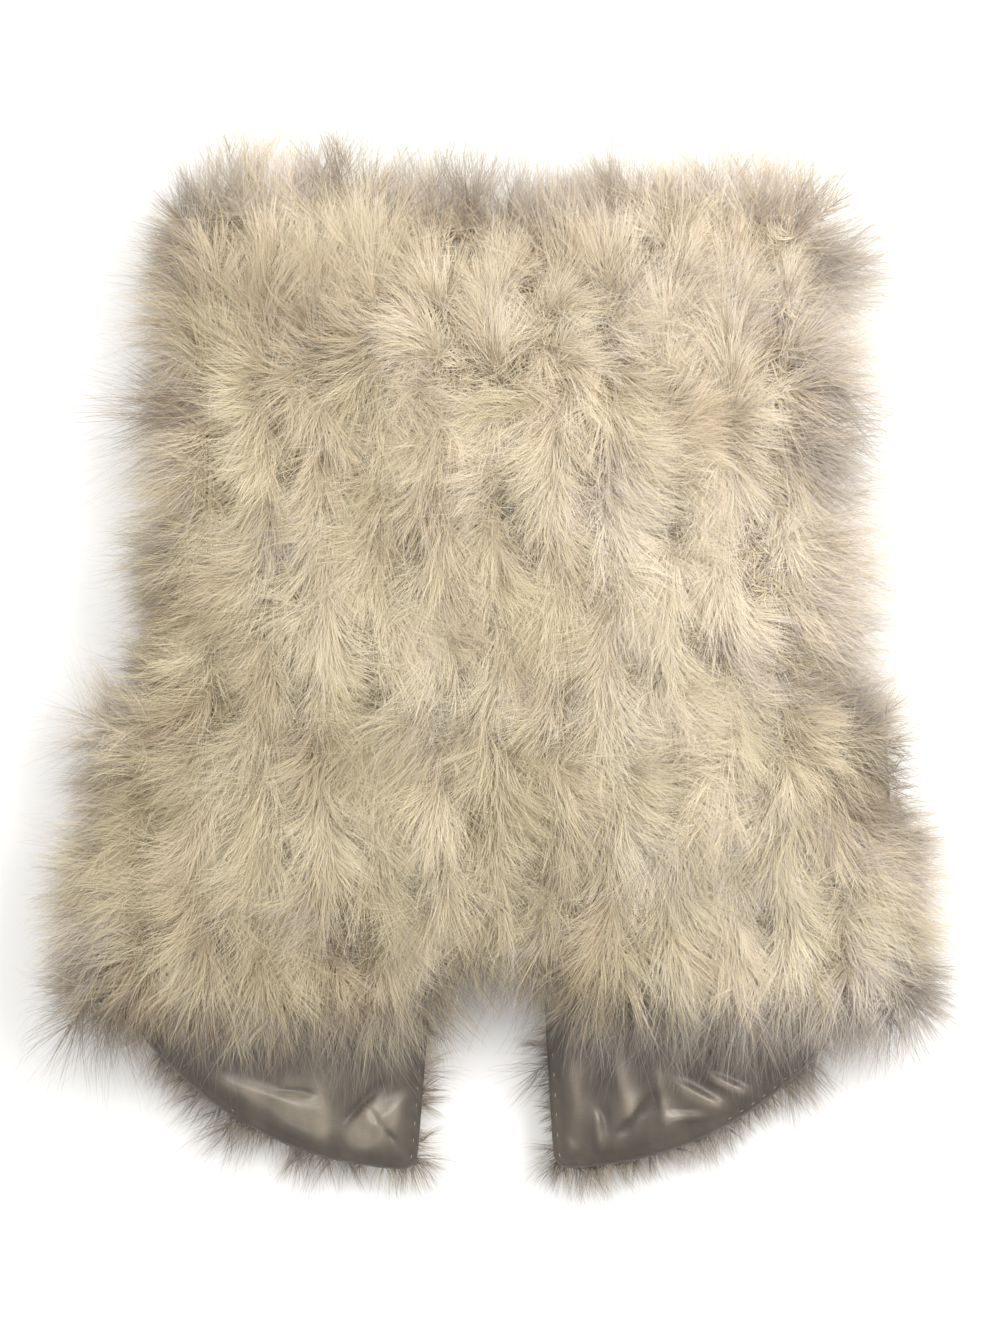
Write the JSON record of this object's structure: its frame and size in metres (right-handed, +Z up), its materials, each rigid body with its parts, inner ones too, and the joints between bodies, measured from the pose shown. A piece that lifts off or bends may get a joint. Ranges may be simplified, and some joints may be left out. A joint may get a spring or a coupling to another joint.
{
  "type": "feather boa vest",
  "caption": "Sleeveless feather vest lying face down: boa strips sewn in lengthwise rows on a lined back and on two fronts that draw together at the hem.",
  "frame": {"origin": "on the surface the vest lies on, under the middle of its overall length and width", "axes": "+Y towards the neck along the middle of the back, +Z up out of the back's feathers, +X across the vest to the wearer's right"},
  "size_m": [0.556, 0.6504, 0.0817],
  "materials": {
    "plumes": "soft matt marabou down, champagne with deeper taupe between the clumps",
    "base_cloth": "matt woven base cloth in the colour of the feathers",
    "satin_lining": "taupe satin with a soft sheen and loose folds",
    "stay_tape": "plain woven cotton tape",
    "boa_cord": "twisted cotton cord",
    "hook_wire": "plated wire"
  },
  "bodies": {
    "back": {"back_shell": "base_cloth", "back_lining": "satin_lining", "back_edge_tape": "stay_tape", "back_row_cords": "boa_cord", "side_seam_left": "base_cloth", "side_seam_right": "base_cloth", "shoulder_seam_left": "base_cloth", "shoulder_seam_right": "base_cloth", "back_feather_row_1": "plumes", "back_feather_row_2": "plumes", "back_feather_row_3": "plumes", "back_feather_row_4": "plumes", "back_feather_row_5": "plumes", "back_feather_row_6": "plumes", "back_feather_row_7": "plumes", "back_feather_row_8": "plumes", "back_feather_row_9": "plumes", "back_feather_row_10": "plumes", "back_feather_row_11": "plumes", "back_feather_row_12": "plumes", "back_feather_row_13": "plumes", "back_feather_row_14": "plumes", "back_feather_row_15": "plumes"},
    "front_left": {"front_left_shell": "base_cloth", "front_left_lining": "satin_lining", "front_left_edge_tape": "stay_tape", "front_left_row_cords": "boa_cord", "front_left_feather_row_1": "plumes", "front_left_feather_row_2": "plumes", "front_left_feather_row_3": "plumes", "front_left_feather_row_4": "plumes", "front_left_feather_row_5": "plumes", "front_left_feather_row_6": "plumes", "front_left_hooks": "hook_wire"},
    "front_right": {"front_right_shell": "base_cloth", "front_right_lining": "satin_lining", "front_right_edge_tape": "stay_tape", "front_right_row_cords": "boa_cord", "front_right_feather_row_1": "plumes", "front_right_feather_row_2": "plumes", "front_right_feather_row_3": "plumes", "front_right_feather_row_4": "plumes", "front_right_feather_row_5": "plumes", "front_right_feather_row_6": "plumes", "front_right_eyes": "hook_wire"}
  },
  "joints": [
    {"name": "front_left_swing", "type": "hinge", "parent": "back", "child": "front_left", "pos_m": [-0.095, 0.29528, 0.022], "axis": [0, 0, 1], "range_deg": [0, 4.6]},
    {"name": "front_right_swing", "type": "hinge", "parent": "back", "child": "front_right", "pos_m": [0.095, 0.29528, 0.022], "axis": [0, 0, -1], "range_deg": [0, 3.4]}
  ]
}
